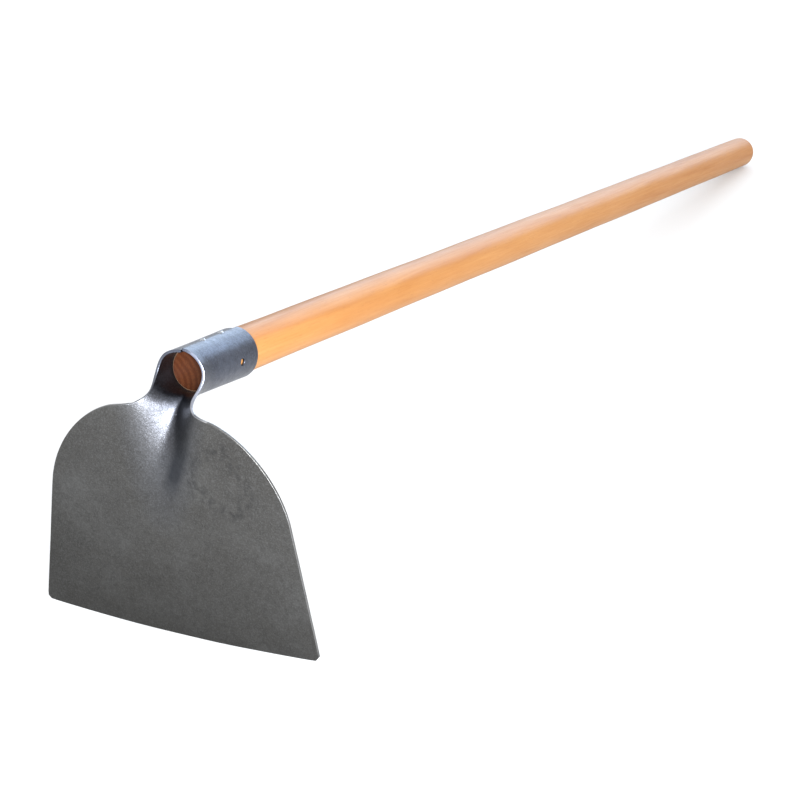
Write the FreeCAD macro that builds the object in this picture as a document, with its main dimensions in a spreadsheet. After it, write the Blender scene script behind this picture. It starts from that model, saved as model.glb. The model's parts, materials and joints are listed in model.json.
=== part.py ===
import FreeCAD, Part
import math
import os
import Sketcher
from FreeCAD import Placement, Rotation, Vector

# A grub hoe: a head of bent sheet steel driven onto a round wooden handle.
#
# Everything is first drawn in the tool frame: the handle's axis is the Y axis, y = 0 is the
# socket's rear rim, +Y runs back along the handle, and +Z is the side of the socket's seam.
# Every node is then placed in the part's frame, where the hoe rests on the ground z = 0 on its
# cutting edge and on the butt of its handle, with the origin under the middle of its box.

DIMENSIONS = {
    # sheet steel head
    "sheet_thickness": 2.0,
    "socket_length": 71.5,
    "socket_rear_bore": 32.1,
    "socket_front_bore": 30.7,
    "seam_gap": 0.8,
    "blade_distance": 96.0,
    "blade_lean": 12.6,
    "blade_depth": 168.4,
    "edge_sagitta": 4.3,
    "edge_half_width": 106.4,
    "side_top_half_width": 90.8,
    "side_top_depth": 72.0,
    "shoulder_half_width": 28.0,
    "shoulder_depth": 3.9,
    "shoulder_slope": 0.115,
    "shoulder_level_handle": 30.0,
    "shoulder_steep_handle": 32.0,
    "neck_window_half_width": 26.0,
    "corner_radius": 4.0,
    # the bend between the socket and the blade
    "ray_origin_drop": 10.0,
    "heel_reach_bottom": 34.0,
    "heel_reach_side": 45.0,
    "groove_half_width": 38.0,
    "groove_length": 800.0,
    "groove_lean": 4.0,
    "groove_round": 18.0,
    "bend_weight_side": 0.7,
    "bend_weight_bottom": 0.55,
    "neck_drop": 5.0,
    "neck_curve": 0.036,
    "neck_profile_depth": 30.0,
    # nail hole
    "nail_hole_diameter": 5.0,
    "nail_hole_distance": 19.7,
    # wooden handle
    "handle_diameter": 32.0,
    "handle_length": 1160.0,
    "grip_start": 1.0,
    "handle_insert": 56.6,
    "handle_front_chamfer": 1.2,
    "handle_butt_radius": 9.0,
    "socket_clearance": 0.05,
    # seam welds
    "tack_length": 5.0,
    "tack_width": 3.6,
    "tack_height": 1.0,
    "tack_sink": 0.35,
    "front_tack_distance": 44.0,
    "rear_tack_distance": 20.0,
}

document = FreeCAD.newDocument("grub_hoe")
sheet = document.addObject("Spreadsheet::Sheet", "dimensions")
for row, (alias, value) in enumerate(DIMENSIONS.items(), start=1):
    cell = "A%d" % row
    sheet.set(cell, str(value))
    sheet.setAlias(cell, alias)
document.recompute()

size = {alias: float(sheet.get(alias)) for alias in DIMENSIONS}


# ---------------------------------------------------------------------------------------------
# The middle surface of the sheet
#
# Fibres run along the sheet from the socket's rear rim. Each one follows a straight line of the
# slightly conical socket, turns through a conic bend, and goes on in the blade's plane along a
# ray that starts at the ray origin, a point of that plane just below the handle's axis. Below
# the socket the bend is long, which presses the groove into the blade. Beside it it is short.
# ---------------------------------------------------------------------------------------------

rear_radius = (size["socket_rear_bore"] + size["sheet_thickness"]) / 2
front_radius = (size["socket_front_bore"] + size["sheet_thickness"]) / 2
cone_slope = (rear_radius - front_radius) / size["socket_length"]
lean = math.radians(size["blade_lean"])
handle_radius = size["handle_diameter"] / 2

# the blade's plane: a point at the handle's lower side and the way down
plane_point = Vector(0, -size["blade_distance"], -handle_radius)
blade_down = Vector(0, math.sin(lean), -math.cos(lean))


def plane_y(z):
    """Y of the blade's plane at a height."""
    return plane_point.y - (z - plane_point.z) * math.tan(lean)


ray_origin = Vector(0, plane_y(-size["ray_origin_drop"]), -size["ray_origin_drop"])
neck_radius = rear_radius - cone_slope * size["blade_distance"]


def ray_to_socket_angle(ray):
    """Angle round the handle's axis, from straight down, of the fibre that leaves along a ray."""
    drop = size["ray_origin_drop"]
    reach = -drop * math.cos(ray) + math.sqrt(neck_radius ** 2 - (drop * math.sin(ray)) ** 2)
    return math.atan2(reach * math.sin(ray), drop + reach * math.cos(ray))


def socket_to_ray_angle(angle):
    drop = size["ray_origin_drop"]
    return math.atan2(neck_radius * math.sin(angle), neck_radius * math.cos(angle) - drop)


def bend_of(ray):
    """Corner, socket line, blade ray and their reaches, and the conic's weight, of one fibre."""
    angle = ray_to_socket_angle(ray)
    across = math.sin(angle)
    down = math.cos(angle)
    # where the socket's line meets the blade's plane
    slope = math.tan(lean)
    corner_y = plane_point.y + (plane_point.z + rear_radius * down) * slope
    corner_y /= 1 - cone_slope * down * slope
    corner_radius = rear_radius + cone_slope * corner_y
    corner = Vector(corner_radius * across, corner_y, -corner_radius * down)
    socket_line = Vector(cone_slope * across, 1, -cone_slope * down)
    blade_ray = corner - ray_origin
    inner = blade_ray.Length
    blade_ray.normalize()
    # the groove's outline in the blade is a long tongue with a rounded point, leaning a little
    turned = ray + math.radians(size["groove_lean"])
    roundness = math.sin(math.radians(size["groove_round"]))
    sideways = math.sin(turned) if abs(turned) < math.pi / 2 else 1.0
    sideways = math.hypot(sideways, roundness)
    downwards = (math.cos(turned) + math.hypot(math.cos(turned), 0.2)) / 2
    outline = 1 / (sideways / size["groove_half_width"] + downwards / size["groove_length"])
    blade_reach = outline - inner
    spread = size["heel_reach_side"] - size["heel_reach_bottom"]
    socket_reach = size["heel_reach_bottom"] + spread * across ** 2
    rise = size["bend_weight_bottom"] - size["bend_weight_side"]
    weight = size["bend_weight_side"] + rise * downwards ** 2
    return corner, socket_line, socket_reach, blade_ray, blade_reach, inner, weight


def middle_point(ray, stage, far):
    """Point of the middle surface: stage 0 to 1 is the socket, 1 to 2 the bend, 2 to 3 the blade."""
    corner, socket_line, socket_reach, blade_ray, blade_reach, inner, weight = bend_of(ray)
    if stage <= 1:
        reach = -corner.y * (1 - stage) + socket_reach * stage
        return corner + socket_line * reach
    if stage <= 2:
        part = stage - 1
        start = (1 - part) ** 2
        end = part ** 2
        middle = 2 * weight * part * (1 - part)
        mixed = socket_line * (start * socket_reach) + blade_ray * (end * blade_reach)
        return corner + mixed * (1 / (start + middle + end))
    return corner + blade_ray * (blade_reach + (stage - 2) * (far - inner - blade_reach))


def sheet_normal(ray, stage, far):
    """Unit normal towards the inside of the socket and the front of the blade."""
    step = 0.001
    along = middle_point(ray, stage + step, far) - middle_point(ray, stage - step, far)
    across = middle_point(ray + step, stage, far) - middle_point(ray - step, stage, far)
    return across.cross(along).normalize()


def sheet_face(offset):
    """One face of the sheet, as a cubic B-spline surface with its poles on the offset surface."""
    far = size["blade_depth"] + size["edge_half_width"]
    gap_angle = size["seam_gap"] / 2 / rear_radius
    last_ray = socket_to_ray_angle(math.pi - gap_angle)
    columns = 118
    rays = [last_ray * (2 * column / columns - 1) for column in range(columns + 1)]
    socket_stages = [0.0, 0.25, 0.5, 0.75]
    bend_stages = [1 + row / 14 for row in range(14)]
    blade_stages = [2 + row / 8 for row in range(9)]
    stages = socket_stages + bend_stages + blade_stages
    poles = []
    for ray in rays:
        fibre = []
        for stage in stages:
            fibre.append(middle_point(ray, stage, far) + sheet_normal(ray, stage, far) * offset)
        poles.append(fibre)
    surface = Part.BSplineSurface()
    surface.buildFromPolesMultsKnots(
        poles,
        [4] + [1] * (len(rays) - 4) + [4],
        [4] + [1] * (len(stages) - 4) + [4],
        list(range(len(rays) - 2)),
        list(range(len(stages) - 2)),
        False,
        False,
        3,
        3,
    )
    return surface


def sheet_blank():
    """The bent sheet before trimming: two faces and the strips between their borders."""
    half = size["sheet_thickness"] / 2
    front = sheet_face(half)
    back = sheet_face(-half)
    faces = [front.toShape(), back.toShape()]
    first_u, last_u, first_v, last_v = front.bounds()
    borders = (
        (front.uIso(first_u), back.uIso(first_u)),
        (front.uIso(last_u), back.uIso(last_u)),
        (front.vIso(first_v), back.vIso(first_v)),
        (front.vIso(last_v), back.vIso(last_v)),
    )
    for front_border, back_border in borders:
        faces.append(Part.makeRuledSurface(front_border.toShape(), back_border.toShape()))
    shell = Part.makeCompound(faces)
    shell.sewShape()
    solid = Part.makeSolid(shell.Shells[0])
    if solid.Volume < 0:
        solid.reverse()
    return solid


def feature(kind, name, **properties):
    """Add an object and set its plain properties."""
    made = document.addObject(kind, name)
    for key, value in properties.items():
        setattr(made, key, value)
    return made


def bind(target, **expressions):
    """Bind properties to cells of the sheet."""
    for key, expression in expressions.items():
        target.setExpression(key, expression)
    return target


def prism(name, base, direction):
    """A solid that runs the same way to both sides of a flat face."""
    return feature(
        "Part::Extrusion",
        name,
        Base=base,
        DirMode="Custom",
        Dir=direction,
        Solid=True,
        Symmetric=True,
    )


# ---------------------------------------------------------------------------------------------
# hoe_head: the bent sheet, trimmed to the blade's outline and to the neck's side profile
# ---------------------------------------------------------------------------------------------


def outline_point(across, depth):
    """A point of the blade's outline, seen along the handle: depth is measured down the blade."""
    return Vector(across, 0, plane_point.z - depth * math.cos(lean))


def blade_outline():
    """The blade's outline, open upwards through a window that leaves the neck and socket alone."""
    window = size["neck_window_half_width"]
    shoulder = (size["shoulder_half_width"], size["shoulder_depth"])
    side_top = (size["side_top_half_width"], size["side_top_depth"])
    corner = (size["edge_half_width"], size["blade_depth"])
    side_slope = (corner[0] - side_top[0]) / (corner[1] - side_top[1])
    rounding = size["corner_radius"]
    before_corner = (corner[0] - side_slope * rounding, corner[1] - rounding)
    arc_end = corner[0] - rounding
    arc_end_depth = corner[1] + size["edge_sagitta"] * (1 - (arc_end / corner[0]) ** 2)
    # negative depths are above the blade: this one is well above the socket
    window_top = -4 * size["socket_rear_bore"]
    half = []
    half.append(Part.makeLine(outline_point(window, window_top), outline_point(window, shoulder[1])))
    half.append(Part.makeLine(outline_point(window, shoulder[1]), outline_point(*shoulder)))
    # the shoulder is one cubic curve from nearly level to the side's slope
    level = size["shoulder_level_handle"]
    steep = size["shoulder_steep_handle"]
    shoulder_curve = Part.BezierCurve()
    shoulder_curve.setPoles([
        outline_point(*shoulder),
        outline_point(shoulder[0] + level, shoulder[1] + size["shoulder_slope"] * level),
        outline_point(side_top[0] - side_slope * steep, side_top[1] - steep),
        outline_point(*side_top),
    ])
    half.append(shoulder_curve.toShape())
    half.append(Part.makeLine(outline_point(*side_top), outline_point(*before_corner)))
    corner_curve = Part.BezierCurve()
    corner_curve.setPoles([
        outline_point(*before_corner),
        outline_point(*corner),
        outline_point(arc_end, arc_end_depth),
    ])
    half.append(corner_curve.toShape())
    mirrored = [edge.mirror(Vector(), Vector(1, 0, 0)) for edge in half]
    cutting_edge = Part.Arc(
        outline_point(arc_end, arc_end_depth),
        outline_point(0, corner[1] + size["edge_sagitta"]),
        outline_point(-arc_end, arc_end_depth),
    ).toShape()
    top = Part.makeLine(outline_point(window, window_top), outline_point(-window, window_top))
    edges = half + [cutting_edge] + mirrored + [top]
    return Part.Face(Part.Wire(Part.__sortEdges__(edges)))


def neck_profile():
    """The region in front of the socket's rim and the neck's edges, seen from the side."""
    rim = -size["socket_length"]
    top = size["neck_drop"]
    drop = size["neck_profile_depth"]
    foot = rim - size["neck_curve"] * drop ** 2
    far = 3 * size["blade_depth"]
    edge = Part.BezierCurve()
    edge.setPoles([Vector(0, rim, top), Vector(0, rim, top - drop / 2), Vector(0, foot, top - drop)])
    corners = [
        Vector(0, foot, top - drop),
        Vector(0, -far, top - drop),
        Vector(0, -far, far),
        Vector(0, rim, far),
        Vector(0, rim, top),
    ]
    edges = [edge.toShape()]
    edges += [Part.makeLine(start, end) for start, end in zip(corners, corners[1:])]
    return Part.Face(Part.Wire(edges))


blank = feature("Part::Feature", "sheet_blank")
blank.Shape = sheet_blank()

outline = feature("Part::Feature", "blade_outline")
outline.Shape = blade_outline()
outline_prism = prism("outline_prism", outline, Vector(0, 1, 0))
bind(outline_prism, LengthFwd="3 * dimensions.blade_depth")

profile = feature("Part::Feature", "neck_profile")
profile.Shape = neck_profile()
profile_prism = prism("profile_prism", profile, Vector(1, 0, 0))
bind(profile_prism, LengthFwd="4 * dimensions.edge_half_width")

outlined = feature("Part::Common", "outlined_sheet", Base=blank, Tool=outline_prism)
trimmed = feature("Part::Cut", "trimmed_sheet", Base=outlined, Tool=profile_prism)

nail_hole = feature("Part::Cylinder", "nail_hole")
bind(
    nail_hole,
    Radius="dimensions.nail_hole_diameter / 2",
    Height="dimensions.socket_rear_bore",
    **{".Placement.Base.y": "-dimensions.nail_hole_distance"},
)
nail_hole.Placement.Rotation = Rotation(Vector(0, 1, 0), 90)
hoe_head = feature("Part::Cut", "hoe_head", Base=trimmed, Tool=nail_hole)


# ---------------------------------------------------------------------------------------------
# handle: one turned pole, slightly tapered where it sits in the socket
# ---------------------------------------------------------------------------------------------


def origin_plane(body, role):
    return next(item for item in body.Origin.OriginFeatures if item.Role == role)


handle = feature("PartDesign::Body", "handle")
handle_sketch = handle.newObject("Sketcher::SketchObject", "handle_half_section")
handle_sketch.AttachmentSupport = [(origin_plane(handle, "XY_Plane"), "")]
handle_sketch.MapMode = "FlatFace"

insert = size["handle_insert"]
length = size["handle_length"]
chamfer = size["handle_front_chamfer"]
butt = size["handle_butt_radius"]
# the full round starts just behind the socket's rim
grip_start = size["grip_start"]
INSERT_RADIUS = (
    "dimensions.socket_rear_bore / 2 - dimensions.socket_clearance"
    " - (dimensions.socket_rear_bore - dimensions.socket_front_bore) / 2"
    " * dimensions.handle_insert / dimensions.socket_length"
)
insert_radius = rear_radius - cone_slope * insert - size["sheet_thickness"] / 2 - size["socket_clearance"]
section = [
    Vector(0, -insert, 0),
    Vector(insert_radius - chamfer, -insert, 0),
    Vector(insert_radius, chamfer - insert, 0),
    Vector(handle_radius, grip_start, 0),
    Vector(handle_radius, length - butt, 0),
]
for start, end in zip(section, section[1:]):
    handle_sketch.addGeometry(Part.LineSegment(start, end), False)
butt_circle = Part.Circle(Vector(handle_radius - butt, length - butt, 0), Vector(0, 0, 1), butt)
handle_sketch.addGeometry(Part.ArcOfCircle(butt_circle, 0, math.pi / 2), False)
butt_rim = Vector(handle_radius - butt, length, 0)
handle_sketch.addGeometry(Part.LineSegment(butt_rim, Vector(0, length, 0)), False)
handle_sketch.addGeometry(Part.LineSegment(Vector(0, length, 0), section[0]), False)

# the section's lines, in order from the axis at the front end
FRONT_FACE, FRONT_CHAMFER, INSERT_TAPER, SIDE, BUTT_ARC, BUTT_FACE, AXIS = range(7)
START, END = 1, 2
SHEET_X_AXIS, SHEET_Y_AXIS = -1, -2
handle_sketch.addConstraint([
    Sketcher.Constraint("Coincident", FRONT_FACE, END, FRONT_CHAMFER, START),
    Sketcher.Constraint("Coincident", FRONT_CHAMFER, END, INSERT_TAPER, START),
    Sketcher.Constraint("Coincident", INSERT_TAPER, END, SIDE, START),
    Sketcher.Constraint("Tangent", SIDE, END, BUTT_ARC, START),
    Sketcher.Constraint("Tangent", BUTT_ARC, END, BUTT_FACE, START),
    Sketcher.Constraint("Coincident", BUTT_FACE, END, AXIS, START),
    Sketcher.Constraint("Coincident", AXIS, END, FRONT_FACE, START),
    Sketcher.Constraint("Horizontal", FRONT_FACE),
    Sketcher.Constraint("Vertical", SIDE),
    Sketcher.Constraint("Vertical", AXIS),
    Sketcher.Constraint("PointOnObject", AXIS, START, SHEET_Y_AXIS),
])
HANDLE_SIZES = (
    ("front_end", "dimensions.handle_insert",
     ("DistanceY", FRONT_FACE, START, SHEET_X_AXIS, START, insert)),
    ("front_radius", INSERT_RADIUS + " - dimensions.handle_front_chamfer",
     ("DistanceX", FRONT_FACE, END, insert_radius - chamfer)),
    ("insert_radius", INSERT_RADIUS, ("DistanceX", INSERT_TAPER, START, insert_radius)),
    ("chamfer", "dimensions.handle_front_chamfer",
     ("DistanceY", FRONT_CHAMFER, START, FRONT_CHAMFER, END, chamfer)),
    ("radius", "dimensions.handle_diameter / 2", ("DistanceX", SIDE, START, handle_radius)),
    ("grip_start", "dimensions.grip_start",
     ("DistanceY", SHEET_X_AXIS, START, SIDE, START, grip_start)),
    ("butt_radius", "dimensions.handle_butt_radius", ("Radius", BUTT_ARC, butt)),
    ("length", "dimensions.handle_length", ("DistanceY", BUTT_FACE, START, length)),
)
for name, expression, constraint in HANDLE_SIZES:
    index = handle_sketch.addConstraint(Sketcher.Constraint(*constraint))
    handle_sketch.renameConstraint(index, name)
    handle_sketch.setExpression("Constraints." + name, expression)

handle_turned = handle.newObject("PartDesign::Revolution", "handle_turned")
handle_turned.Profile = handle_sketch
handle_turned.ReferenceAxis = (handle_sketch, ["V_Axis"])
handle_turned.Angle = 360


# ---------------------------------------------------------------------------------------------
# Seam tacks: two weld beads that bridge the seam on top of the socket. A bead's middle lies a
# little under the socket's outer surface.
# ---------------------------------------------------------------------------------------------

# the socket's outer shape with its seam open, which the beads are cut to
envelope_cone = feature("Part::Cone", "socket_envelope_cone")
bind(
    envelope_cone,
    Radius1="dimensions.socket_rear_bore / 2 + dimensions.sheet_thickness",
    Radius2="dimensions.socket_front_bore / 2 + dimensions.sheet_thickness",
    Height="dimensions.socket_length",
)
envelope_cone.Placement.Rotation = Rotation(Vector(1, 0, 0), 90)
seam_slot = feature("Part::Box", "seam_slot")
bind(
    seam_slot,
    Length="dimensions.seam_gap",
    Width="dimensions.socket_length",
    Height="dimensions.sheet_thickness * 2",
    **{
        ".Placement.Base.x": "-dimensions.seam_gap / 2",
        ".Placement.Base.y": "-dimensions.socket_length",
        ".Placement.Base.z": "dimensions.socket_rear_bore / 2",
    },
)
envelope = feature("Part::Cut", "socket_envelope", Base=envelope_cone, Tool=seam_slot)


def seam_tack(name, distance):
    """A flat bead on the seam, cut to the socket that it lies on; distance is a cell's alias."""
    bead = feature("Part::Ellipsoid", name + "_bead")
    outer = (
        "dimensions.socket_rear_bore / 2 + dimensions.sheet_thickness"
        " - (dimensions.socket_rear_bore - dimensions.socket_front_bore) / 2"
        " * dimensions.%s / dimensions.socket_length" % distance
    )
    bind(
        bead,
        Radius1="dimensions.tack_height + dimensions.tack_sink",
        Radius2="dimensions.tack_length / 2",
        Radius3="dimensions.tack_width / 2",
        **{
            ".Placement.Base.y": "-dimensions.%s" % distance,
            ".Placement.Base.z": outer + " - dimensions.tack_sink",
        },
    )
    bead.Placement.Rotation = Rotation(Vector(0, 0, 1), 90)
    return feature("Part::Cut", name, Base=bead, Tool=envelope)


tacks = [
    seam_tack("seam_tack_front", "front_tack_distance"),
    seam_tack("seam_tack_rear", "rear_tack_distance"),
]


# ---------------------------------------------------------------------------------------------
# Resting place: turned about X until the cutting edge and the butt are level
# ---------------------------------------------------------------------------------------------


def heights_at(angle):
    """Lowest heights of the cutting edge and of the handle's butt, turned down by an angle."""
    edge = plane_point + blade_down * (size["blade_depth"] + size["edge_sagitta"])
    # the edge is cut parallel to the handle, so its two corners are apart along Y
    half_cut = Vector(0, size["sheet_thickness"] / 2 / math.cos(lean), 0)
    turn = Rotation(Vector(1, 0, 0), -angle)
    edge_height = min(turn.multVec(edge + half_cut).z, turn.multVec(edge - half_cut).z)
    butt_centre = Vector(0, length - butt, butt - handle_radius)
    return edge_height, turn.multVec(butt_centre).z - butt


def resting_angle():
    low = 0.0
    high = 20.0
    while high - low > 1e-9:
        middle = (low + high) / 2
        edge_height, butt_height = heights_at(middle)
        if butt_height > edge_height:
            low = middle
        else:
            high = middle
    return low


document.recompute()
nodes = [hoe_head, handle] + tacks
down_angle = resting_angle()
turn = Rotation(Vector(1, 0, 0), -down_angle)
lowest = min(heights_at(down_angle))
turned_points = []
for node in nodes:
    turned_points += [turn.multVec(point) for point in node.Shape.tessellate(0.02)[0]]
foremost = min(point.y for point in turned_points)
rearmost = max(point.y for point in turned_points)
resting_place = Placement(Vector(0, -(foremost + rearmost) / 2, -lowest), turn)
for node in nodes:
    node.Placement = resting_place
    node.Label = node.Name
document.recompute()


# ---------------------------------------------------------------------------------------------
# Checks and export
# ---------------------------------------------------------------------------------------------

for item in document.Objects:
    if "Invalid" in item.State or "Error" in item.State:
        raise RuntimeError("%s failed to recompute: %s" % (item.Name, item.State))
for node in nodes:
    if node.Shape.isNull() or not node.Shape.isValid():
        raise RuntimeError("%s has no valid shape" % node.Label)
    if len(node.Shape.Solids) != 1:
        raise RuntimeError("%s is %d solids" % (node.Label, len(node.Shape.Solids)))

os.makedirs("parts", exist_ok=True)
for node in nodes:
    node.Shape.exportStep("parts/%s.step" % node.Label)
    print("%s: %.0f mm3" % (node.Label, node.Shape.Volume))
print("resting angle %.4f degrees, placed at %s" % (down_angle, resting_place.Base))
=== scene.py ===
import json
import math

import bpy
import numpy as np
from mathutils import Matrix, Vector


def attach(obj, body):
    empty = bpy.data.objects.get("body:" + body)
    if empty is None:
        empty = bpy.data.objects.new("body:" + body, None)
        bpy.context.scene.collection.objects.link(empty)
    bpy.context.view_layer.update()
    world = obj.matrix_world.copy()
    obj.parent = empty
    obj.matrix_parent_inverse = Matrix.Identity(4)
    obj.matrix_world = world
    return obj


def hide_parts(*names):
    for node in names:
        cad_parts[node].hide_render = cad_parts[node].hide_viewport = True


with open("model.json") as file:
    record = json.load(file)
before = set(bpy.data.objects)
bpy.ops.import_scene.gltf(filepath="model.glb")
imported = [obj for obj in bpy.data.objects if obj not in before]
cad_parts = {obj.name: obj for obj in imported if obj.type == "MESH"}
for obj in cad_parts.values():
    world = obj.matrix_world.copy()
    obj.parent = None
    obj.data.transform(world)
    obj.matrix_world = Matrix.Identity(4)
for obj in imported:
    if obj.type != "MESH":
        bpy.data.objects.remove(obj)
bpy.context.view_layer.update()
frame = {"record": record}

# The tool frame, in millimetres: the handle's axis is the Y axis, y = 0 is the socket's rear rim,
# +Y runs back along the handle and +Z is the side of the seam. Pieces are built in it and placed
# by one matrix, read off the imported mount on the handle, whose middle is GRIP_MIDDLE behind y = 0.
MM = 0.001
mounts = {mount["name"]: mount for mount in frame["record"]["mounts"]}
GRIP_MIDDLE = 576 * MM
back_along_handle = Vector(mounts["handle_grip"]["axis"]).normalized()
across = Vector((1, 0, 0))
up_from_seam = across.cross(back_along_handle)
rear_rim_centre = Vector(mounts["handle_grip"]["pos_m"]) - back_along_handle * GRIP_MIDDLE
tool_axes = Matrix((across, back_along_handle, up_from_seam)).transposed()
tool_matrix = Matrix.Translation(rear_rim_centre) @ tool_axes.to_4x4()
tool_turn = np.array(tool_axes)

# Sizes of the head and handle, as in the CAD
THICKNESS = 2.0
SOCKET_LENGTH = 71.5
REAR_RADIUS = (32.1 + THICKNESS) / 2
FRONT_RADIUS = (30.7 + THICKNESS) / 2
CONE_SLOPE = (REAR_RADIUS - FRONT_RADIUS) / SOCKET_LENGTH
SEAM_GAP = 1.5
BLADE_DISTANCE = 96.0
LEAN = math.radians(12.6)
BLADE_DEPTH = 168.4
EDGE_SAGITTA = 4.3
EDGE_HALF_WIDTH = 106.4
SIDE_TOP = (90.8, 72.0)
SHOULDER = (28.0, 3.9)
SHOULDER_HANDLES = (30.0, 32.0)
SHOULDER_SLOPE = 0.115
CORNER_RADIUS = 4.0
RAY_DROP = 10.0
HEEL_BOTTOM = 34.0
HEEL_SIDE = 45.0
GROOVE_HALF_WIDTH = 38.0
GROOVE_LENGTH = 800.0
GROOVE_LEAN = math.radians(4.0)
GROOVE_ROUND = math.sin(math.radians(18.0))
WEIGHT_SIDE = 0.7
WEIGHT_BOTTOM = 0.55
NECK_DROP = 5.0
NECK_CURVE = 0.036
NECK_PROFILE_DEPTH = 30.0
NAIL_RADIUS = 2.5
NAIL_DISTANCE = 19.7
HANDLE_RADIUS = 16.0
HANDLE_LENGTH = 1160.0
HANDLE_INSERT = 56.6
FRONT_CHAMFER = 1.2
BUTT_RADIUS = 9.0
SOCKET_CLEARANCE = 0.05


# ---------------------------------------------------------------------------------------------
# Mesh helpers
# ---------------------------------------------------------------------------------------------


def new_object(name, vertices, faces, material):
    """A smooth-shaded mesh object made from tool-frame millimetres, with its place in its mesh."""
    mesh = bpy.data.meshes.new(name)
    placed = np.asarray(vertices) * MM @ tool_turn.T + np.array(rear_rim_centre)
    mesh.from_pydata(placed.tolist(), [], faces)
    mesh.update()
    for polygon in mesh.polygons:
        polygon.use_smooth = True
    mesh.materials.append(material)
    made = bpy.data.objects.new(name, mesh)
    bpy.context.scene.collection.objects.link(made)
    return made


def set_attribute(made, name, values):
    """One number for each vertex, for a material to read."""
    attribute = made.data.attributes.new(name, "FLOAT", "POINT")
    attribute.data.foreach_set("value", np.asarray(values, np.float32))


# ---------------------------------------------------------------------------------------------
# The middle surface of the sheet: the same fibres as in the CAD. A fibre follows a line of the
# socket (stage 0 to 1), turns through a conic bend (1 to 2) and goes on in the blade's plane
# (2 to 3) along a ray from a point just below the handle's axis.
# ---------------------------------------------------------------------------------------------

plane_point = np.array((0.0, -BLADE_DISTANCE, -HANDLE_RADIUS))
FAR = BLADE_DEPTH + EDGE_HALF_WIDTH  # the rays' length, past the farthest corner of the blade
GROOVE_END_ROUND = 0.2
neck_radius = REAR_RADIUS - CONE_SLOPE * BLADE_DISTANCE


def plane_y(z):
    """The blade's middle plane, as y against z."""
    return plane_point[1] - (z - plane_point[2]) * math.tan(LEAN)


ray_origin = np.array((0.0, plane_y(-RAY_DROP), -RAY_DROP))


def middle_surface(ray, stage):
    """Points of the sheet's middle surface, in the tool frame, for arrays of rays and stages."""
    reach = -RAY_DROP * np.cos(ray) + np.sqrt(neck_radius ** 2 - (RAY_DROP * np.sin(ray)) ** 2)
    angle = np.arctan2(reach * np.sin(ray), RAY_DROP + reach * np.cos(ray))
    sideways, down = np.sin(angle), np.cos(angle)
    slope = math.tan(LEAN)
    corner_y = plane_point[1] + (plane_point[2] + REAR_RADIUS * down) * slope
    corner_y = corner_y / (1 - CONE_SLOPE * down * slope)
    corner_radius = REAR_RADIUS + CONE_SLOPE * corner_y
    corner = np.stack((corner_radius * sideways, corner_y, -corner_radius * down), -1)
    socket_line = np.stack((CONE_SLOPE * sideways, np.ones_like(ray), -CONE_SLOPE * down), -1)
    blade_ray = corner - ray_origin
    inner = np.linalg.norm(blade_ray, axis=-1)
    blade_ray = blade_ray / inner[..., None]
    turned = ray + GROOVE_LEAN
    widening = np.hypot(np.where(np.abs(turned) < math.pi / 2, np.sin(turned), 1.0), GROOVE_ROUND)
    lengthening = (np.cos(turned) + np.hypot(np.cos(turned), GROOVE_END_ROUND)) / 2
    outline = 1 / (widening / GROOVE_HALF_WIDTH + lengthening / GROOVE_LENGTH)
    blade_reach = outline - inner
    socket_reach = HEEL_BOTTOM + (HEEL_SIDE - HEEL_BOTTOM) * sideways ** 2
    weight = WEIGHT_SIDE + (WEIGHT_BOTTOM - WEIGHT_SIDE) * lengthening ** 2
    part = np.clip(stage - 1, 0, 1)
    start, end = (1 - part) ** 2, part ** 2
    total = start + 2 * weight * part * (1 - part) + end
    along_socket = start * socket_reach / total
    along_blade = end * blade_reach / total
    on_socket = stage < 1
    on_blade = stage > 2
    along_socket = np.where(on_socket, -corner_y * (1 - stage) + socket_reach * stage, along_socket)
    along_blade = np.where(on_socket, 0.0, along_blade)
    along_blade = np.where(on_blade, blade_reach + (stage - 2) * (FAR - inner - blade_reach), along_blade)
    return corner + socket_line * along_socket[..., None] + blade_ray * along_blade[..., None]


def normal_of(surface, ray, stage, step):
    """Unit normals of a surface over (ray, stage). They point to the back of the blade."""
    along = surface(ray, stage + step) - surface(ray, stage - step)
    sideways = surface(ray + step, stage) - surface(ray - step, stage)
    normal = np.cross(sideways, along)
    return normal / np.linalg.norm(normal, axis=-1)[..., None]


# ---------------------------------------------------------------------------------------------
# Trimming: how far outside the sheet's outline a point lies, in millimetres
# ---------------------------------------------------------------------------------------------


SHOULDER_STEPS = 400
NECK_CORNER_RADIUS = 2.0
FAR_INSIDE = -100.0


def shoulder_table():
    """(half-width, depth) along the shoulder's cubic curve, and the slope of the side below it."""
    side_slope = (EDGE_HALF_WIDTH - SIDE_TOP[0]) / (BLADE_DEPTH - SIDE_TOP[1])
    p0 = np.array(SHOULDER)
    p1 = p0 + SHOULDER_HANDLES[0] * np.array((1, SHOULDER_SLOPE))
    p3 = np.array(SIDE_TOP)
    p2 = p3 - SHOULDER_HANDLES[1] * np.array((side_slope, 1))
    t = np.linspace(0, 1, SHOULDER_STEPS)[:, None]
    curve = (1 - t) ** 3 * p0 + 3 * (1 - t) ** 2 * t * p1 + 3 * (1 - t) * t ** 2 * p2 + t ** 3 * p3
    return curve, side_slope


shoulder_curve, side_slope = shoulder_table()


def rounded_max(a, b, radius):
    """The larger of two distances, with the corner between them rounded."""
    near_both = (a > -radius) & (b > -radius)
    rounded = np.hypot(np.maximum(a + radius, 0), np.maximum(b + radius, 0)) - radius
    return np.where(near_both, rounded, np.maximum(a, b))


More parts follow.
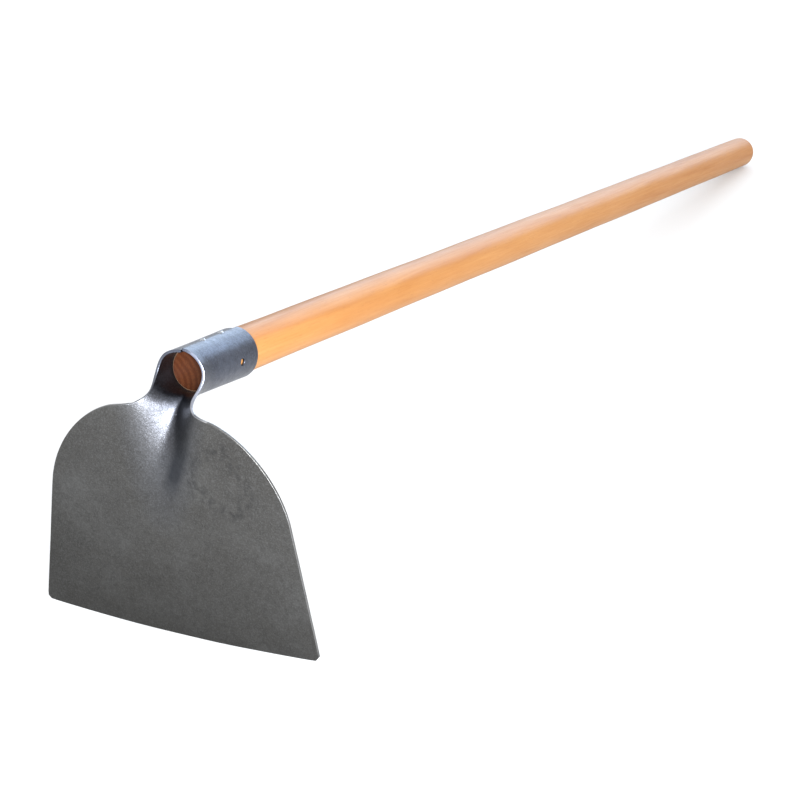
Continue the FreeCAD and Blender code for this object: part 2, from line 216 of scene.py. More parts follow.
def outside(points, stage):
    """How far each point lies outside the sheet's outline, in millimetres; negative inside it."""
    x, y, z = points[..., 0], points[..., 1], points[..., 2]
    depth = (plane_point[2] - z) / math.cos(LEAN)
    half_width = np.interp(depth, shoulder_curve[:, 1], shoulder_curve[:, 0])
    half_width = np.where(depth > SIDE_TOP[1], SIDE_TOP[0] + (depth - SIDE_TOP[1]) * side_slope, half_width)
    side = np.abs(x) - half_width
    widths, depths = shoulder_curve.T
    side = side / np.hypot(1, np.interp(depth, depths[1:], np.diff(widths) / np.diff(depths)))
    edge = depth - BLADE_DEPTH - EDGE_SAGITTA * (1 - (x / EDGE_HALF_WIDTH) ** 2)
    blade = rounded_max(side, edge, CORNER_RADIUS)
    drop = np.clip(NECK_DROP - z, 0, None)
    profile = -SOCKET_LENGTH - NECK_CURVE * drop ** 2 - y
    profile = profile / np.hypot(1, 2 * NECK_CURVE * drop)
    profile = np.where(drop > NECK_PROFILE_DEPTH, FAR_INSIDE, profile)
    nail = np.where((x > 0) & (stage < 1), NAIL_RADIUS - np.hypot(y + NAIL_DISTANCE, z), FAR_INSIDE)
    return np.maximum(rounded_max(blade, profile, NECK_CORNER_RADIUS), nail)


# ---------------------------------------------------------------------------------------------
# Hand-made unevenness of the sheet
# ---------------------------------------------------------------------------------------------

DENT_HEIGHT = 0.16
DENT_SPACING = 42.0
DENT_WAVES = 14
DENT_WAVE_SPREAD = 2.2
WING_LIFT = 1.3
WING_START = math.radians(35)
WING_RISE = math.radians(50)
WING_FADE = 30.0
SURFACE_STEP = 1e-3
UNEVEN_STEP = 2e-3
rng = np.random.default_rng(7)
dent_waves = rng.normal(size=(DENT_WAVES, 3)) / DENT_SPACING * DENT_WAVE_SPREAD
dent_phases = rng.uniform(0, 2 * math.pi, DENT_WAVES)


def uneven_surface(ray, stage):
    """The middle surface with shallow forging dents and the seam's left wing standing proud."""
    points = middle_surface(ray, stage)
    normal = normal_of(middle_surface, ray, stage, SURFACE_STEP)
    dents = np.sin(points @ dent_waves.T + dent_phases).sum(-1) * DENT_HEIGHT / math.sqrt(DENT_WAVES)
    seam_angle = np.arctan2(points[..., 2], -points[..., 0])
    nearness = np.clip((seam_angle - WING_START) / WING_RISE, 0, 1)
    socket = np.clip((-plane_y(0) + WING_FADE / 2 + points[..., 1]) / WING_FADE, 0, 1)
    wing = WING_LIFT * nearness ** 2 * (3 - 2 * nearness) * socket * (points[..., 0] < 0)
    return points + normal * (dents - wing)[..., None]


# ---------------------------------------------------------------------------------------------
# The trimmed sheet as a mesh: a grid over (ray, stage), clipped along the outline
# ---------------------------------------------------------------------------------------------

EDGE_ROUND = 0.4
EDGE_STEPS = 4
SNAP = 0.3  # share of a cell within which a grid point moves onto the outline
CROSSING_STEPS = 18
RAY_COUNT = 401
SOCKET_STAGES = 60
BEND_STAGES = 60
BLADE_STAGES = 90
GRADIENT_STEP = 0.02
ON_OUTLINE = 1e-3
TINY = 1e-9


def clearance(domain):
    """Distance outside the outline of points given by (ray, stage), less the edge's rounding."""
    return outside(middle_surface(domain[:, 0], domain[:, 1]), domain[:, 1]) + EDGE_ROUND


def crossing(inner, outer):
    """Where the outline crosses from an inner to an outer point of the (ray, stage) plane."""
    low, high = np.zeros(len(inner)), np.ones(len(inner))
    for _ in range(CROSSING_STEPS):
        middle = (low + high) / 2
        positive = clearance(inner + (outer - inner) * middle[:, None]) > 0
        high = np.where(positive, middle, high)
        low = np.where(positive, low, middle)
    return (low + high) / 2


def clipped_grid(rays, stages):
    """Vertices in (ray, stage) and polygons of the part of a grid inside the outline."""
    rows, columns = len(rays), len(stages)
    domain = np.stack(np.meshgrid(rays, stages, indexing="ij"), -1).reshape(-1, 2)
    index = np.arange(rows * columns).reshape(rows, columns)
    value = clearance(domain)
    pairs = np.concatenate((
        np.stack((index[:-1].ravel(), index[1:].ravel()), -1),
        np.stack((index[:, :-1].ravel(), index[:, 1:].ravel()), -1),
    ))
    along_stage = np.arange(len(pairs)) >= (rows - 1) * columns
    cut = (value[pairs[:, 0]] < 0) != (value[pairs[:, 1]] < 0)
    pairs, along_stage = pairs[cut], along_stage[cut]
    flip = value[pairs[:, 0]] > 0
    pairs[flip] = pairs[flip][:, ::-1]
    part = crossing(domain[pairs[:, 0]], domain[pairs[:, 1]])
    places = domain[pairs[:, 0]] + (domain[pairs[:, 1]] - domain[pairs[:, 0]]) * part[:, None]
    # grid points very near the outline move onto it, so that no sliver is left beside them
    on_seam = np.zeros(len(domain), bool)
    on_seam[index[[0, -1]].ravel()] = True
    moves = {}
    for (inner, outer), share, place, lengthwise in zip(pairs.tolist(), part, places, along_stage):
        for end, distance in ((inner, share), (outer, 1 - share)):
            if distance < SNAP and (lengthwise or not on_seam[end]):
                if end not in moves or distance < moves[end][0]:
                    moves[end] = (distance, place)
    for end, (_, place) in moves.items():
        domain[end] = place
        value[end] = 0.0
    new_vertex = {}
    extra = []
    for (inner, outer), place in zip(pairs.tolist(), places):
        if value[inner] < 0 and value[outer] > 0:
            new_vertex[frozenset((inner, outer))] = len(domain) + len(extra)
            extra.append(place)
    domain = np.concatenate((domain, np.array(extra).reshape(-1, 2)))
    polygons = []
    for i in range(rows - 1):
        for j in range(columns - 1):
            corners = [int(index[place]) for place in ((i, j), (i + 1, j), (i + 1, j + 1), (i, j + 1))]
            levels = [value[corner] for corner in corners]
            if min(levels) >= 0:
                continue
            polygon = []
            for k in range(4):
                here, after = corners[k], corners[(k + 1) % 4]
                if levels[k] <= 0:
                    polygon.append(here)
                if levels[k] * levels[(k + 1) % 4] < 0:
                    polygon.append(new_vertex[frozenset((here, after))])
            if len(polygon) > 2:
                polygons.append(polygon)
    used = sorted({vertex for polygon in polygons for vertex in polygon})
    renumber = {vertex: order for order, vertex in enumerate(used)}
    return domain[used], [[renumber[vertex] for vertex in polygon] for polygon in polygons]


def border_edges(polygons):
    """Directed edges that only one polygon has."""
    seen = {}
    for polygon in polygons:
        for a, b in zip(polygon, polygon[1:] + polygon[:1]):
            if (b, a) in seen:
                del seen[(b, a)]
            else:
                seen[(a, b)] = True
    return list(seen)


def last_fibre():
    """The ray of the last fibre, which leaves half of the seam's gap."""
    seam_angle = math.pi - SEAM_GAP / 2 / REAR_RADIUS
    return math.atan2(neck_radius * math.sin(seam_angle), neck_radius * math.cos(seam_angle) - RAY_DROP)


last_ray = last_fibre()


def way_out(domain, points, normals, edges, rim, on_outline):
    """Unit vectors, one for each rim vertex, that point out of the sheet along its surface."""
    outward = np.zeros((len(points), 3))
    for a, b in edges:
        along = points[b] - points[a]
        push = np.cross(along / (np.linalg.norm(along) + TINY), normals[a] + normals[b])
        outward[a] += push
        outward[b] += push
    outward = outward[rim] / np.linalg.norm(outward[rim], axis=1)[:, None]
    # along the outline the way out is the outline's own gradient
    ray, stage = domain[rim].T
    flat = middle_surface(ray, stage)
    steps = np.eye(3) * GRADIENT_STEP
    slope = np.stack([outside(flat + step, stage) - outside(flat - step, stage) for step in steps], -1)
    slope -= normals[rim] * (slope * normals[rim]).sum(-1)[:, None]
    slope /= np.linalg.norm(slope, axis=1)[:, None] + TINY
    return np.where(on_outline[:, None], slope, outward)


BARE_AND_HIGHLIGHT_RIM = (0.2, 0.75)  # how bare the socket's rim is on its left and on its right; the larger right-hand value is partly a painted highlight
BARE_BLADE_EDGE = 0.15
RIM_CHANGE = 8.0
FOLD_START = np.array((17.0, -28.0))  # (x, z) of the ends of the painted shade down the fold
FOLD_END = np.array((-2.0, -84.0))
FOLD_HALF_WIDTHS = (7.0, 4.5)
FOLD_SOFTNESS = 1.6
FOLD_FROM_STAGE = 1.3
FOLD_FADE_IN = 0.4
FOLD_FADE_OUT = 0.3
FOLD_LEAST = 0.15


def painted_fold_shade(points, stage):
    """Painted shade down the fold that runs on from the groove's right wall."""
    fold = FOLD_END - FOLD_START
    from_start = points[:, [0, 2]] - FOLD_START
    share = np.clip(from_start @ fold / (fold @ fold), 0, 1)
    apart = np.linalg.norm(from_start - share[:, None] * fold, axis=1)
    half_width = FOLD_HALF_WIDTHS[0] + (FOLD_HALF_WIDTHS[1] - FOLD_HALF_WIDTHS[0]) * share
    across_fold = np.clip(FOLD_SOFTNESS - apart / half_width, 0, 1) * (stage > FOLD_FROM_STAGE)
    fade_in = np.clip(share / FOLD_FADE_IN, FOLD_LEAST, 1)
    return across_fold * fade_in * np.clip((1 - share) / FOLD_FADE_OUT, 0, 1)


def paint_head(head, domain, points, rim, on_outline, ring_count):
    """The steel's point attributes, for the back, the front and then the rings of the rounded rim."""
    ray, stage = domain.T
    nothing = np.zeros(len(points))
    # bare steel on the cut edges; the socket's right-hand rim is brightest because a painted highlight is
    # added there
    flat = middle_surface(ray[rim], stage[rim])
    by_nail = (flat[:, 0] > 0) & (stage[rim] < 1)
    by_nail &= np.hypot(flat[:, 1] + NAIL_DISTANCE, flat[:, 2]) < 2 * NAIL_RADIUS
    socket_rim = BARE_AND_HIGHLIGHT_RIM[0] + (BARE_AND_HIGHLIGHT_RIM[1] - BARE_AND_HIGHLIGHT_RIM[0]) * np.clip(flat[:, 0] / RIM_CHANGE, 0, 1)
    rim_wear_and_highlight = np.where(stage[rim] < 2, socket_rim, BARE_BLADE_EDGE) * (on_outline & ~by_nail)
    set_attribute(head, "bare_edge_and_highlight", np.concatenate((nothing, nothing, np.tile(rim_wear_and_highlight, ring_count))))
    # painted shade in the fold, on the front only, and in the seam's gap
    on_seam = np.abs(np.abs(ray[rim]) - last_ray) < 1e-6
    dark = (nothing, painted_fold_shade(points, stage), np.tile(on_seam, ring_count))
    set_attribute(head, "painted_shade", np.concatenate(dark))
    # the rolled and bent part gets a blue tint, partly heat tint from bending and partly a painted
    # reflection of the blue sky; the blade gets none
    turned_up = np.clip(2 - stage, 0, 1)
    set_attribute(head, "heat_tint_and_sky", np.concatenate((turned_up, turned_up, np.tile(turned_up[rim], ring_count))))


def build_head(material):
    rays = np.linspace(-last_ray, last_ray, RAY_COUNT)
    stages = np.concatenate((
        np.linspace(0, 1, SOCKET_STAGES + 1)[:-1],
        np.linspace(1, 2, BEND_STAGES + 1)[:-1],
        2 + np.linspace(0, 1, BLADE_STAGES + 1),
    ))
    domain, polygons = clipped_grid(rays, stages)
    points = uneven_surface(*domain.T)
    normals = normal_of(uneven_surface, *domain.T, UNEVEN_STEP)
    count = len(points)
    half = THICKNESS / 2
    edges = border_edges(polygons)
    rim = sorted({a for a, b in edges})
    on_outline = np.abs(clearance(domain[rim])) < ON_OUTLINE
    outward = way_out(domain, points, normals, edges, rim, on_outline)
    vertices = [points + normals * half, points - normals * half]
    shading = [normals, -normals]
    ring_starts = []
    for k in range(1, 2 * EDGE_STEPS):
        turn = math.pi * k / (2 * EDGE_STEPS)
        sideways, level = math.sin(turn), math.cos(turn)
        # the middle ring lies on the sheet's middle surface, and the others beyond the flat edge
        flat_edge = 0.0 if k == EDGE_STEPS else math.copysign(half - EDGE_ROUND, level)
        rise = normals[rim] * (level * EDGE_ROUND + flat_edge)
        ring_starts.append(2 * count + len(ring_starts) * len(rim))
        vertices.append(points[rim] + outward * (EDGE_ROUND * sideways) + rise)
        shading.append(outward * sideways + normals[rim] * level)
    order = {vertex: place for place, vertex in enumerate(rim)}
    faces = [list(polygon) for polygon in polygons]
    faces += [[vertex + count for vertex in reversed(polygon)] for polygon in polygons]
    for a, b in edges:
        lines_a = [a] + [start + order[a] for start in ring_starts] + [a + count]
        lines_b = [b] + [start + order[b] for start in ring_starts] + [b + count]
        for k in range(len(lines_a) - 1):
            faces.append([lines_b[k], lines_a[k], lines_a[k + 1], lines_b[k + 1]])
    head = new_object("head_sheet", np.concatenate(vertices), faces, material)
    head.data.normals_split_custom_set_from_vertices((np.concatenate(shading) @ tool_turn.T).tolist())
    paint_head(head, domain, points, rim, on_outline, len(ring_starts))
    return head


# ---------------------------------------------------------------------------------------------
# The handle, turned from one pole, and the seam's weld beads
# ---------------------------------------------------------------------------------------------

HANDLE_SEGMENTS = 96
HANDLE_RINGS = 160
FRONT_RINGS = 14
TAPER_RINGS = 9
TAPER_SPAN = (-52, -4)
BUTT_RINGS = 12
BUTT_FLAT_RINGS = 5
CHAMFER_EASE = 0.3
LATHE_WAVES = ((0.10, 47, 2, 0.0), (0.07, 23, 1, 1.3))  # height, length along y, turns, phase
LATHE_DEPTH = 0.17  # keeps the waves inside the turned radius
WAVES_FULL_AT = 60


def handle_profile():
    """(y, radius) along the pole, from near the middle of its front end to near that of its butt."""
    bore = REAR_RADIUS - THICKNESS / 2 - SOCKET_CLEARANCE
    front = bore - CONE_SLOPE * HANDLE_INSERT
    profile = [(-HANDLE_INSERT, front * k / FRONT_RINGS) for k in range(1, FRONT_RINGS - 1)]
    # the chamfer round the front end, with both of its corners eased
    profile += [
        (-HANDLE_INSERT, front - FRONT_CHAMFER - CHAMFER_EASE),
        (-HANDLE_INSERT + 0.12, front - FRONT_CHAMFER + 0.1),
        (-HANDLE_INSERT + FRONT_CHAMFER - 0.1, front - 0.12),
        (-HANDLE_INSERT + FRONT_CHAMFER + CHAMFER_EASE, front),
    ]
    for y in np.linspace(*TAPER_SPAN, TAPER_RINGS):
        profile.append((y, front + (bore - front) * (y + HANDLE_INSERT) / HANDLE_INSERT))
    profile.append((0.0, HANDLE_RADIUS))
    profile += [(y, HANDLE_RADIUS) for y in np.linspace(6, HANDLE_LENGTH - BUTT_RADIUS, HANDLE_RINGS)]
    for k in range(1, BUTT_RINGS + 1):
        turn = math.pi / 2 * k / BUTT_RINGS
        y = HANDLE_LENGTH - BUTT_RADIUS * (1 - math.sin(turn))
        profile.append((y, HANDLE_RADIUS - BUTT_RADIUS * (1 - math.cos(turn))))
    inner = HANDLE_RADIUS - BUTT_RADIUS
    profile += [(HANDLE_LENGTH, inner * k / BUTT_FLAT_RINGS) for k in range(BUTT_FLAT_RINGS - 1, 0, -1)]
    return profile


def build_handle(material):
    """The pole, with the shallow waves that sanding leaves on its bare length."""
    profile = handle_profile()
    turns = np.linspace(0, 2 * math.pi, HANDLE_SEGMENTS, endpoint=False)
    vertices = [(0.0, profile[0][0], 0.0)]
    for y, radius in profile:
        share = min(max(y / WAVES_FULL_AT, 0), 1)
        wave = 0.0
        for height, length, count, phase in LATHE_WAVES:
            wave = wave + height * np.sin(y / length + phase + count * turns)
        for turn, lift in zip(turns, share * (wave - LATHE_DEPTH)):
            vertices.append(((radius + lift) * math.cos(turn), y, (radius + lift) * math.sin(turn)))
    last = len(vertices)
    vertices.append((0.0, profile[-1][0], 0.0))
    faces = []
    for k in range(HANDLE_SEGMENTS):
        after = (k + 1) % HANDLE_SEGMENTS
        faces.append((0, 1 + k, 1 + after))
        for ring in range(len(profile) - 1):
            a = 1 + ring * HANDLE_SEGMENTS
            b = a + HANDLE_SEGMENTS
            faces.append((a + k, b + k, b + after, a + after))
        a = 1 + (len(profile) - 1) * HANDLE_SEGMENTS
        faces.append((last, a + after, a + k))
    return new_object("handle_pole", vertices, faces, material)


TACK_LENGTH = 5.0
TACK_WIDTH = 3.6
TACK_HEIGHT = 1.1
TACK_SPREAD = 1.04
TACK_SINK = 0.22  # how far the bead's rim lies below the sheet's outer surface
TACK_RINGS = 14
TACK_SEGMENTS = 48
RIPPLE_HEIGHT = 0.07
RIPPLE_TURN = 5.2  # radians of ripple per millimetre along the seam
RIPPLE_CURVE = 0.5


def build_tack(name, distance, material, phase):
    """A weld bead over the seam: a rippled cap that sinks a little into the sheet at its rim."""
    vertices = []
    for ring in range(TACK_RINGS + 1):
        share = ring / TACK_RINGS
        for k in range(TACK_SEGMENTS):
            turn = 2 * math.pi * k / TACK_SEGMENTS
            uneven = 1 + 0.07 * math.sin(3 * turn + phase) + 0.04 * math.sin(5 * turn + 2 * phase)
            x = TACK_WIDTH / 2 * TACK_SPREAD * share * uneven * math.cos(turn)
            y = TACK_LENGTH / 2 * TACK_SPREAD * share * uneven * math.sin(turn)
            ripple = RIPPLE_HEIGHT * math.sin(y * RIPPLE_TURN + RIPPLE_CURVE * x * x + phase)
            cap = TACK_HEIGHT * (1 - share ** 2.4) + ripple * (1 - share ** 2)
            outer = REAR_RADIUS + THICKNESS / 2 - CONE_SLOPE * (distance - y)
            vertices.append((x, y - distance, math.sqrt(outer ** 2 - x ** 2) + cap - TACK_SINK))
    faces = []
    for ring in range(TACK_RINGS):
        for k in range(TACK_SEGMENTS):
            after = (k + 1) % TACK_SEGMENTS
            a, b = ring * TACK_SEGMENTS, (ring + 1) * TACK_SEGMENTS
            if ring:
                faces.append((a + k, b + k, b + after, a + after))
            else:
                faces.append((0, b + k, b + after))
    return new_object(name, vertices, faces, material)


# ---------------------------------------------------------------------------------------------
# Materials
# ---------------------------------------------------------------------------------------------


class Nodes:
    """A material's node tree, with short calls for the nodes that the materials here use."""

    def __init__(self, name):
        self.material = bpy.data.materials.new(name)
        self.material.use_nodes = True
        self.tree = self.material.node_tree
        self.shader = self.tree.nodes["Principled BSDF"]
        # texture coordinates in the tool frame, in metres
        to_tool = tool_matrix.inverted()
        mapping = self.add("ShaderNodeMapping")
        mapping.inputs["Location"].default_value = to_tool.to_translation()
        mapping.inputs["Rotation"].default_value = to_tool.to_euler()
        self.link(self.add("ShaderNodeTexCoord").outputs["Object"], mapping.inputs["Vector"])
        self.place = mapping.outputs["Vector"]

    def add(self, kind, **settings):
        """A node of the tree with its properties set."""
        node = self.tree.nodes.new(kind)
        for key, value in settings.items():
            setattr(node, key, value)
        return node

    def link(self, source, target):
        self.tree.links.new(source, target)

    def stretched(self, x, y, z):
        """The place with each axis scaled: a small number draws a pattern out along that axis."""
        mapping = self.add("ShaderNodeMapping")
        mapping.inputs["Scale"].default_value = (x, y, z)
        self.link(self.place, mapping.inputs["Vector"])
        return mapping.outputs["Vector"]

    def attribute(self, name):
        return self.add("ShaderNodeAttribute", attribute_name=name).outputs["Fac"]

    def noise(self, scale, detail=4.0, roughness=0.55, place=None, distortion=0.0):
        node = self.add("ShaderNodeTexNoise")
        node.inputs["Scale"].default_value = scale
        node.inputs["Detail"].default_value = detail
        node.inputs["Roughness"].default_value = roughness
        node.inputs["Distortion"].default_value = distortion
        self.link(place or self.place, node.inputs["Vector"])
        return node.outputs["Fac"]

    def spread(self, value, low, high, to_low, to_high):
        """value mapped from low..high to to_low..to_high."""
        node = self.add("ShaderNodeMapRange", clamp=True)
        for key, number in (("From Min", low), ("From Max", high), ("To Min", to_low), ("To Max", to_high)):
            node.inputs[key].default_value = number
        self.link(value, node.inputs["Value"])
        return node.outputs["Result"]

    def math(self, operation, first, second=None, third=None):
        node = self.add("ShaderNodeMath", operation=operation)
        for slot, value in enumerate((first, second, third)):
            if isinstance(value, (int, float)):
                node.inputs[slot].default_value = value
            elif value is not None:
                self.link(value, node.inputs[slot])
        return node.outputs[0]

    def ramp(self, value, *stops):
        """A colour ramp through (position, colour) stops."""
        node = self.add("ShaderNodeValToRGB")
        elements = node.color_ramp.elements
        while len(elements) < len(stops):
            elements.new(0.5)
        for element, (position, colour) in zip(elements, stops):
            element.position = position
            element.color = (*colour, 1)
        self.link(value, node.inputs["Fac"])
        return node.outputs["Color"]

    def mix(self, share, first, second, blend="MIX"):
        node = self.add("ShaderNodeMix", data_type="RGBA", blend_type=blend)
        for key, value in ((0, share), (6, first), (7, second)):
            if isinstance(value, tuple):
                node.inputs[key].default_value = (*value, 1)
            elif isinstance(value, (int, float)):
                node.inputs[key].default_value = value
            else:
                self.link(value, node.inputs[key])
        return node.outputs[2]

    def bump(self, height, distance, strength, below=None):
        node = self.add("ShaderNodeBump")
        node.inputs["Distance"].default_value = distance
        node.inputs["Strength"].default_value = strength
        self.link(height, node.inputs["Height"])
        if below is not None:
            self.link(below, node.inputs["Normal"])
        return node.outputs["Normal"]


STEEL_SHADES = ((0.32, (0.060, 0.057, 0.053)), (0.50, (0.086, 0.084, 0.080)), (0.68, (0.114, 0.114, 0.112)))
BROWN_PATCH = (0.066, 0.062, 0.056)
MOTTLE_SHADE = (0.044, 0.043, 0.040)
SPECKLE_SHADE = (0.165, 0.165, 0.166)
GRAIN_SHADE = (0.145, 0.145, 0.147)
# colour of the painted shade towards the cutting edge and the left corner
LOWER_LEFT_SHADE_COLOUR = (0.010, 0.010, 0.009)
LOWER_LEFT_SHADE_SLANT = (1.6, 0, 5.0)  # how the painted shade grows along x and z, in the tool frame
SCUFF_CENTRE = (0.041, -0.0865, -0.062)
SCUFF_RADIUS = 0.020
SCUFF_WOBBLE = 0.034
SCUFF_SHADE = (0.045, 0.045, 0.046)
SPECK_SHADE = (0.55, 0.55, 0.55)
# bare steel colour of the cut edges, also carrying the painted highlight on the socket's right-hand rim
BARE_AND_HIGHLIGHT_SHADE = (0.62, 0.62, 0.63)
# blue tint of the bent part: heat tint and a painted reflection of the blue sky
HEAT_AND_SKY_TINT = (0.66, 0.74, 0.99)
# colour of the painted shade in the fold and the seam's gap
PAINTED_SHADE_COLOUR = (0.030, 0.033, 0.040)


def scuff_ring(n, patches, mottle):
    """How scuffed each place is: an uneven ring on the blade's right half."""
    apart = n.add("ShaderNodeVectorMath", operation="DISTANCE")
    apart.inputs[1].default_value = SCUFF_CENTRE
    n.link(n.place, apart.inputs[0])
    wobble = n.math("MULTIPLY_ADD", patches, SCUFF_WOBBLE, -SCUFF_WOBBLE / 2)
    radius = n.math("ADD", apart.outputs["Value"], wobble)
    off_ring = n.math("ABSOLUTE", n.math("SUBTRACT", radius, SCUFF_RADIUS))
    ring = n.spread(off_ring, 0.001, 0.007, 1.0, 0.0)
    return n.math("MULTIPLY", ring, n.spread(mottle, 0.42, 0.62, 0.0, 0.6))


def painted_lower_left_shade(n, clouds):
    """Painted shade: the blade is darker towards its cutting edge and its left corner."""
    slant = n.add("ShaderNodeVectorMath", operation="DOT_PRODUCT")
    slant.inputs[1].default_value = LOWER_LEFT_SHADE_SLANT
    n.link(n.place, slant.inputs[0])
    level = n.math("ADD", slant.outputs["Value"], n.math("MULTIPLY_ADD", clouds, 0.5, -0.25))
    return n.spread(level, -0.95, -0.15, 0.48, 0.0)


def steel_material():
    n = Nodes("mill_steel")
    clouds = n.noise(14, 4, 0.55)
    patches = n.noise(45, 5, 0.6)
    mottle = n.noise(230, 5, 0.65)
    speckle = n.noise(800, 3, 0.7)
    grain = n.noise(2100, 2, 0.6)
    base = n.ramp(clouds, *STEEL_SHADES)
    base = n.mix(n.spread(patches, 0.42, 0.66, 0.0, 0.45), base, BROWN_PATCH)
    base = n.mix(n.spread(mottle, 0.42, 0.64, 0.0, 0.55), base, MOTTLE_SHADE)
    base = n.mix(n.spread(speckle, 0.48, 0.68, 0.0, 0.55), base, SPECKLE_SHADE)
    base = n.mix(n.spread(grain, 0.35, 0.65, 0.0, 0.45), base, GRAIN_SHADE)
    # painted shade: darker towards the cutting edge and the left corner
    base = n.mix(painted_lower_left_shade(n, clouds), base, LOWER_LEFT_SHADE_COLOUR)
    base = n.mix(scuff_ring(n, patches, mottle), base, SCUFF_SHADE)
    # pale specks
    dots = n.add("ShaderNodeTexVoronoi")
    dots.inputs["Scale"].default_value = 42
    n.link(n.place, dots.inputs["Vector"])
    base = n.mix(n.spread(dots.outputs["Distance"], 0.012, 0.022, 0.6, 0.0), base, SPECK_SHADE)
    # cut edges (bare steel, plus a painted highlight on the socket's right-hand rim), the socket's blue tint
    # (heat tint and a painted reflection of the blue sky) and the painted shade in the fold and the seam's
    # gap
    worn_and_highlight = n.math("MULTIPLY", n.attribute("bare_edge_and_highlight"), n.spread(n.noise(70, 3), 0.35, 0.6, 0.4, 1.0))
    base = n.mix(worn_and_highlight, base, BARE_AND_HIGHLIGHT_SHADE)
    base = n.mix(n.attribute("heat_tint_and_sky"), base, HEAT_AND_SKY_TINT, "MULTIPLY")
    # painted shade in the fold and the seam's gap
    base = n.mix(n.math("MULTIPLY", n.attribute("painted_shade"), 0.8), base, PAINTED_SHADE_COLOUR)
    n.link(base, n.shader.inputs["Base Color"])
    n.shader.inputs["Metallic"].default_value = 1.0
    n.link(n.math("MULTIPLY_ADD", mottle, 0.22, 0.25), n.shader.inputs["Roughness"])
    relief = n.bump(mottle, 0.0005, 0.35)
    relief = n.bump(speckle, 0.00022, 0.35, relief)
    relief = n.bump(grain, 0.00012, 0.35, relief)
    n.link(relief, n.shader.inputs["Normal"])
    return n.material


BEAD_SHADES = ((0.35, (0.20, 0.21, 0.23)), (0.6, (0.55, 0.57, 0.60)))


def weld_material():
    n = Nodes("weld_bead")
    spots = n.noise(900, 4, 0.6)
    n.link(n.ramp(spots, *BEAD_SHADES), n.shader.inputs["Base Color"])
    n.shader.inputs["Metallic"].default_value = 1.0
    n.link(n.spread(spots, 0.3, 0.7, 0.45, 0.25), n.shader.inputs["Roughness"])
    n.link(n.bump(spots, 0.0002, 0.6), n.shader.inputs["Normal"])
    return n.material


WOOD_SHADES = ((0.28, (0.292, 0.113, 0.024)), (0.48, (0.333, 0.144, 0.037)), (0.70, (0.365, 0.171, 0.052)))
FIBRE_SHADE = (0.25, 0.100, 0.028)
PORE_SHADE = (0.15, 0.055, 0.016)
CLOUD_SHADE = (0.36, 0.172, 0.066)
END_SHADES = ((0.2, (0.045, 0.012, 0.004)), (0.8, (0.062, 0.019, 0.007)))
END_PORE_SHADE = (0.028, 0.010, 0.005)
CHAMFER_SHADE = (0.24, 0.15, 0.10)
END_GRAIN_Y = (-0.0556, -0.0542)  # the end grain gives way to the varnish across the chamfer
CHAMFER_RADII = (0.0141, 0.0147)
PITH = (0.021, 0, 0.013)  # the growth rings' centre lies this far off the handle's axis


def end_grain(n):
    """Bare red-brown end grain with growth rings, and a pale ring on its chamfer."""
    ring_place = n.add("ShaderNodeMapping")
    ring_place.inputs["Location"].default_value = PITH
    n.link(n.place, ring_place.inputs["Vector"])
    rings = n.add("ShaderNodeTexWave", wave_type="RINGS", rings_direction="Y")
    for key, number in (("Scale", 75), ("Distortion", 3.0), ("Detail", 3.0), ("Detail Scale", 2.0)):
        rings.inputs[key].default_value = number
    n.link(ring_place.outputs["Vector"], rings.inputs["Vector"])
    end = n.ramp(rings.outputs["Fac"], *END_SHADES)
    end = n.mix(n.spread(n.noise(1400, 3), 0.45, 0.7, 0.0, 0.6), end, END_PORE_SHADE)
    section = n.add("ShaderNodeVectorMath", operation="LENGTH")
    n.link(n.stretched(1, 0, 1), section.inputs[0])
    return n.mix(n.spread(section.outputs["Value"], *CHAMFER_RADII, 0.0, 0.8), end, CHAMFER_SHADE)


def wood_material():
    n = Nodes("varnished_wood")
    figure = n.noise(95, 3, 0.5, n.stretched(1, 0.06, 1), 0.6)
    fibre = n.noise(900, 4, 0.6, n.stretched(1, 0.022, 1))
    pores = n.noise(2600, 2, 0.5, n.stretched(1, 0.05, 1))
    base = n.ramp(figure, *WOOD_SHADES)
    base = n.mix(n.spread(fibre, 0.35, 0.68, 0.0, 0.30), base, FIBRE_SHADE)
    base = n.mix(n.spread(pores, 0.60, 0.74, 0.0, 0.45), base, PORE_SHADE)
    base = n.mix(n.spread(n.noise(9, 2), 0.35, 0.7, 0.0, 0.25), base, CLOUD_SHADE)
    xyz = n.add("ShaderNodeSeparateXYZ")
    n.link(n.place, xyz.inputs["Vector"])
    base = n.mix(n.spread(xyz.outputs["Y"], *END_GRAIN_Y, 1.0, 0.0), base, end_grain(n))
    n.link(base, n.shader.inputs["Base Color"])
    n.link(n.spread(fibre, 0.3, 0.7, 0.34, 0.46), n.shader.inputs["Roughness"])
    n.shader.inputs["Specular IOR Level"].default_value = 0.10
    n.shader.inputs["Coat Weight"].default_value = 0.03
    n.shader.inputs["Coat Roughness"].default_value = 0.25
    n.link(n.bump(fibre, 0.00025, 0.12), n.shader.inputs["Normal"])
    return n.material


def floor_material():
    n = Nodes("pale_floor")
    n.shader.inputs["Base Color"].default_value = (0.58, 0.58, 0.58, 1)
    n.shader.inputs["Roughness"].default_value = 0.9
    n.shader.inputs["Specular IOR Level"].default_value = 0.0
    n.shader.inputs["Emission Color"].default_value = (1, 1, 1, 1)
    n.shader.inputs["Emission Strength"].default_value = 0.12
    return n.material


# ---------------------------------------------------------------------------------------------
# Scene
# ---------------------------------------------------------------------------------------------

steel = steel_material()
wood = wood_material()
weld = weld_material()

head = build_head(steel)
pole = build_handle(wood)
front_tack = build_tack("weld_front", 44.0, weld, 1.0)
rear_tack = build_tack("weld_rear", 20.0, weld, 4.0)

for piece, node, slot in (
    (head, "hoe_head", "steel"),
    (pole, "handle", "wood"),
    (front_tack, "seam_tack_front", "weld"),
    (rear_tack, "seam_tack_rear", "weld"),
):
    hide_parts(node)
    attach(piece, "root")

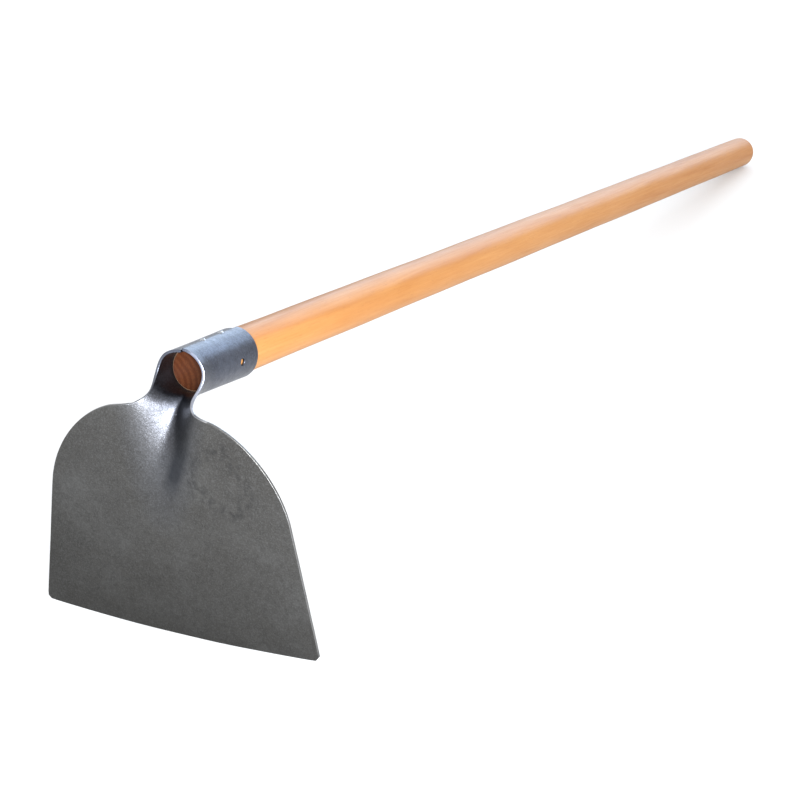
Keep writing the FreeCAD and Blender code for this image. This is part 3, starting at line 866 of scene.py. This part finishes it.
FLOOR_REACH = 9.0
floor_mesh = bpy.data.meshes.new("floor")
floor_corners = [(x * FLOOR_REACH, y * FLOOR_REACH, 0) for x, y in ((-1, -1), (1, -1), (1, 1), (-1, 1))]
floor_mesh.from_pydata(floor_corners, [], [(0, 1, 2, 3)])
floor_mesh.materials.append(floor_material())
floor = bpy.data.objects.new("floor", floor_mesh)
bpy.context.scene.collection.objects.link(floor)

# The camera's place and its turn about X are given in the tool frame, in metres and degrees
CAMERA_PLACE = (0.71738, -1.29700, 0.37754)
CAMERA_FORWARD = Vector((-0.400724, 0.833894, -0.379528))
CAMERA_TURN = Matrix.Rotation(math.radians(7.7445), 3, "X")
camera_data = bpy.data.cameras.new("photo_camera")
camera_data.sensor_width = 36
camera_data.lens = 101.313
camera_data.clip_start = 0.1
camera_data.clip_end = 50
camera = bpy.data.objects.new("photo_camera", camera_data)
looking = (CAMERA_TURN @ CAMERA_FORWARD).normalized()
level = (CAMERA_TURN @ CAMERA_FORWARD.cross(Vector((0, 0, 1)))).normalized()
stance = Matrix((level, level.cross(looking), -looking)).transposed().to_4x4()
camera.matrix_world = tool_matrix @ Matrix.Translation(CAMERA_PLACE) @ stance
bpy.context.scene.collection.objects.link(camera)
bpy.context.scene.camera = camera


def softbox(name, place, aim, width, height, power, colour):
    """A rectangular area light at a place in the row frame, turned to face another."""
    data = bpy.data.lights.new(name, "AREA")
    data.shape = "RECTANGLE"
    data.size = width
    data.size_y = height
    data.energy = power
    data.color = colour
    made = bpy.data.objects.new(name, data)
    made.location = place
    made.rotation_euler = (Vector(aim) - Vector(place)).to_track_quat("-Z", "Y").to_euler()
    bpy.context.scene.collection.objects.link(made)


world = bpy.data.worlds.new("studio")
world.use_nodes = True
world.node_tree.nodes["Background"].inputs["Color"].default_value = (1.0, 1.0, 1.0, 1)
world.node_tree.nodes["Background"].inputs["Strength"].default_value = 1.2
bpy.context.scene.world = world
AIM = (0, -0.5, 0.15)
softbox("sun", (1.67, -3.17, 1.12), AIM, 1.5, 1.2, 250, (0.97, 0.99, 1.0))
softbox("sky", (-0.4, 3.6, 1.5), AIM, 3.4, 1.6, 100, (0.62, 0.80, 1.0))
NECK_AIM = (0, -0.61, 0.16)
softbox("low_panel", (0.69, -1.17, 0.23), NECK_AIM, 0.34, 0.44, 14, (0.93, 0.96, 1.0))

bpy.context.scene.view_settings.view_transform = "Standard"
